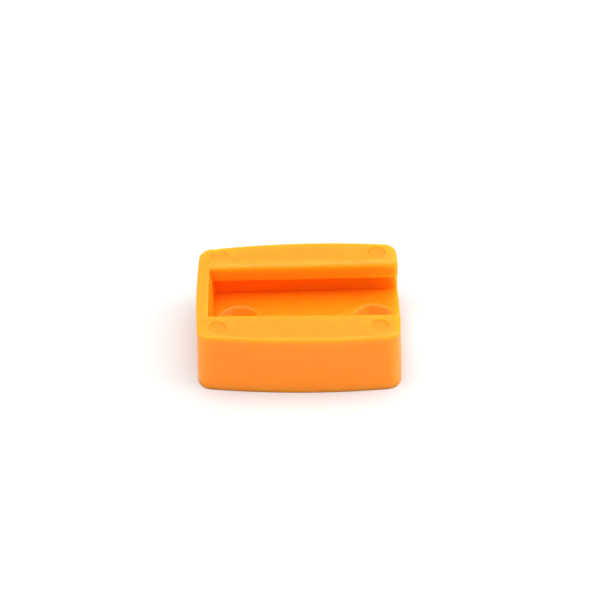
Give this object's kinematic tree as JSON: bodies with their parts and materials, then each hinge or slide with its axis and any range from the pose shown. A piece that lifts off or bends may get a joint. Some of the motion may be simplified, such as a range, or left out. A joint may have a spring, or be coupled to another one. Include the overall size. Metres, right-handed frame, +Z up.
{
  "type": "slotted mounting block",
  "caption": "Bow-sided plastic block with a T-shaped slot along its top, open at one end, and countersunk screw holes through the slot floor.",
  "frame": {"origin": "middle of the flat base, which is the bottom of the bounding box", "axes": "+X along the slot towards its open end, +Y across the block, +Z up from the base"},
  "size_m": [0.06, 0.04, 0.022],
  "materials": {
    "orange_plastic": "smooth moulded, semi-gloss, slightly translucent orange"
  },
  "bodies": {
    "root": {"slotted_block": "orange_plastic"}
  },
  "joints": []
}
